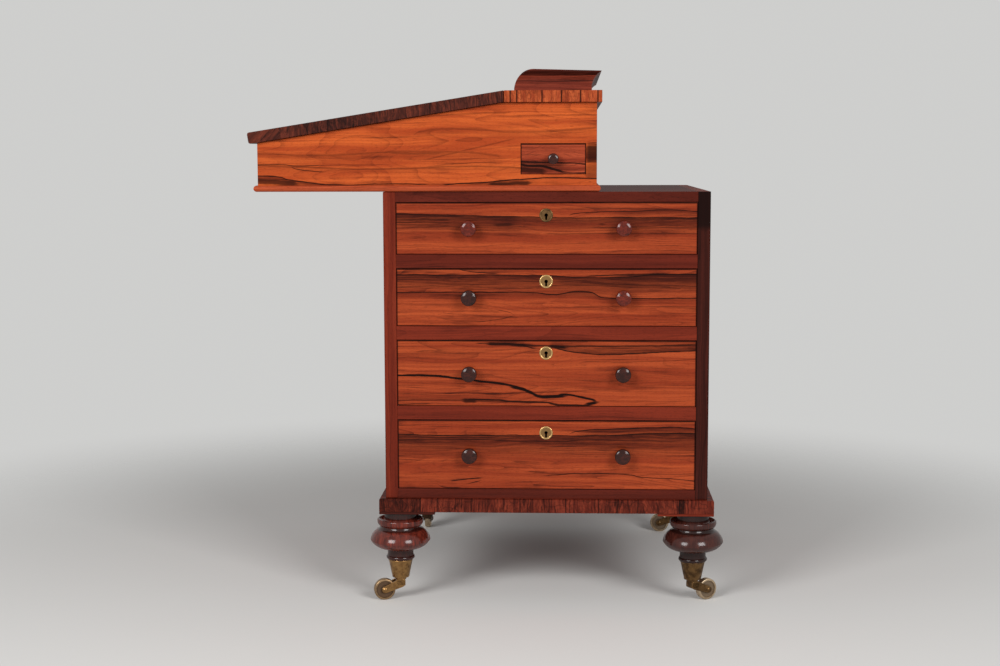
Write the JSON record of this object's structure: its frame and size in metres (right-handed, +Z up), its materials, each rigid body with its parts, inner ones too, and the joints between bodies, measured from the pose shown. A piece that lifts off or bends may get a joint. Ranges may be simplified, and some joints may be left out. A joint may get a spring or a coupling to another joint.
{
  "type": "davenport desk",
  "caption": "Small rosewood writing desk on turned feet and castors, with side drawers, a sliding box with a sloping hinged lid, a pen drawer and a coved gallery.",
  "frame": {"origin": "centre of the footprint of the whole desk at rest, on the floor", "axes": "+X from the sitter towards the back of the desk, +Y from the drawer side to the dummy-drawer side, +Z up"},
  "size_m": [0.7624, 0.5838, 0.8601],
  "materials": {
    "rosewood_veneer": "polished, long dark figure",
    "rosewood_crossband": "polished, cross-banded",
    "rosewood_moulding": "polished",
    "rosewood_turned": "polished, dark",
    "drawer_lining": "waxed mahogany and ash",
    "carcass_pine": "bare",
    "brass": "aged",
    "castor_brass": "worn and dusty",
    "writing_leather": "tooled skiver"
  },
  "bodies": {
    "case": {"case_front_panel": "rosewood_veneer", "case_back_panel": "rosewood_veneer", "case_top": "rosewood_veneer", "case_bottom": "carcass_pine", "case_dummy_side": "rosewood_veneer", "dummy_fronts": "rosewood_veneer", "drawer_rails": "rosewood_veneer", "dust_frames": "carcass_pine", "plinth_frame": "rosewood_crossband", "plinth_corner_blocks": "rosewood_crossband", "turned_feet": "rosewood_turned", "castor_sockets": "brass", "dummy_knobs": "rosewood_turned", "dummy_escutcheons": "brass"},
    "slope_box": {"box_front": "rosewood_veneer", "box_near_side": "rosewood_veneer", "box_far_side": "rosewood_veneer", "box_back": "rosewood_veneer", "box_bottom": "drawer_lining", "box_base_moulding": "rosewood_moulding", "flat_top": "rosewood_crossband", "gallery": "rosewood_moulding", "lid_hinge_fixed_leaves": "brass", "top_keepers": "brass", "pen_drawer_case": "drawer_lining", "inner_division": "drawer_lining", "lid_lock": "brass"},
    "lid": {"lid_board": "rosewood_crossband", "lid_leather": "writing_leather", "lid_hinge_moving_leaves": "brass"},
    "pen_drawer": {"pen_drawer_front": "rosewood_veneer", "pen_drawer_box": "drawer_lining", "pen_drawer_knob": "rosewood_turned"},
    "inner_drawer_left": {"inner_drawer_left": "drawer_lining"},
    "inner_drawer_right": {"inner_drawer_right": "drawer_lining"},
    "drawer_1": {"drawer_1_front": "rosewood_veneer", "drawer_1_box": "drawer_lining", "drawer_1_knobs": "rosewood_turned", "drawer_1_lock": "brass"},
    "drawer_2": {"drawer_2_front": "rosewood_veneer", "drawer_2_box": "drawer_lining", "drawer_2_knobs": "rosewood_turned", "drawer_2_lock": "brass"},
    "drawer_3": {"drawer_3_front": "rosewood_veneer", "drawer_3_box": "drawer_lining", "drawer_3_knobs": "rosewood_turned", "drawer_3_lock": "brass"},
    "drawer_4": {"drawer_4_front": "rosewood_veneer", "drawer_4_box": "drawer_lining", "drawer_4_knobs": "rosewood_turned", "drawer_4_lock": "brass"},
    "castor_1_swivel": {"castor_1_horn": "brass"},
    "castor_1_roller": {"castor_1_wheel": "castor_brass"},
    "castor_2_swivel": {"castor_2_horn": "brass"},
    "castor_2_roller": {"castor_2_wheel": "castor_brass"},
    "castor_3_swivel": {"castor_3_horn": "brass"},
    "castor_3_roller": {"castor_3_wheel": "castor_brass"},
    "castor_4_swivel": {"castor_4_horn": "brass"},
    "castor_4_roller": {"castor_4_wheel": "castor_brass"}
  },
  "joints": [
    {"name": "top_slide", "type": "slide", "parent": "case", "child": "slope_box", "axis": [1, 0, 0], "range_m": [0, 0.19]},
    {"name": "lid_hinge", "type": "hinge", "parent": "slope_box", "child": "lid", "pos_m": [0.02624, 0, 0.827], "axis": [0, 1, 0], "range_deg": [0, 100]},
    {"name": "pen_drawer_slide", "type": "slide", "parent": "slope_box", "child": "pen_drawer", "axis": [0, -1, 0], "range_m": [0, 0.15]},
    {"name": "inner_drawer_left_slide", "type": "slide", "parent": "slope_box", "child": "inner_drawer_left", "axis": [-1, 0, 0], "range_m": [0, 0.085]},
    {"name": "inner_drawer_right_slide", "type": "slide", "parent": "slope_box", "child": "inner_drawer_right", "axis": [-1, 0, 0], "range_m": [0, 0.085]},
    {"name": "drawer_1_slide", "type": "slide", "parent": "case", "child": "drawer_1", "axis": [0, -1, 0], "range_m": [0, 0.36]},
    {"name": "drawer_2_slide", "type": "slide", "parent": "case", "child": "drawer_2", "axis": [0, -1, 0], "range_m": [0, 0.36]},
    {"name": "drawer_3_slide", "type": "slide", "parent": "case", "child": "drawer_3", "axis": [0, -1, 0], "range_m": [0, 0.36]},
    {"name": "drawer_4_slide", "type": "slide", "parent": "case", "child": "drawer_4", "axis": [0, -1, 0], "range_m": [0, 0.36]},
    {"name": "castor_1_turn", "type": "hinge", "parent": "case", "child": "castor_1_swivel", "pos_m": [-0.14576, -0.243, 0.037], "axis": [0, 0, 1], "continuous": true},
    {"name": "castor_1_roll", "type": "hinge", "parent": "castor_1_swivel", "child": "castor_1_roller", "pos_m": [-0.17195, -0.24953, 0.0175], "axis": [0.2419, -0.9703, 0], "continuous": true},
    {"name": "castor_2_turn", "type": "hinge", "parent": "case", "child": "castor_2_swivel", "pos_m": [0.33224, -0.243, 0.037], "axis": [0, 0, 1], "continuous": true},
    {"name": "castor_2_roll", "type": "hinge", "parent": "castor_2_swivel", "child": "castor_2_roller", "pos_m": [0.35563, -0.2295, 0.0175], "axis": [-0.5, 0.866, 0], "continuous": true},
    {"name": "castor_3_turn", "type": "hinge", "parent": "case", "child": "castor_3_swivel", "pos_m": [-0.14576, 0.243, 0.037], "axis": [0, 0, 1], "continuous": true},
    {"name": "castor_3_roll", "type": "hinge", "parent": "castor_3_swivel", "child": "castor_3_roller", "pos_m": [-0.14576, 0.27, 0.0175], "axis": [-1, 0, 0], "continuous": true},
    {"name": "castor_4_turn", "type": "hinge", "parent": "case", "child": "castor_4_swivel", "pos_m": [0.33224, 0.243, 0.037], "axis": [0, 0, 1], "continuous": true},
    {"name": "castor_4_roll", "type": "hinge", "parent": "castor_4_swivel", "child": "castor_4_roller", "pos_m": [0.30565, 0.24769, 0.0175], "axis": [-0.1736, -0.9848, 0], "continuous": true}
  ]
}
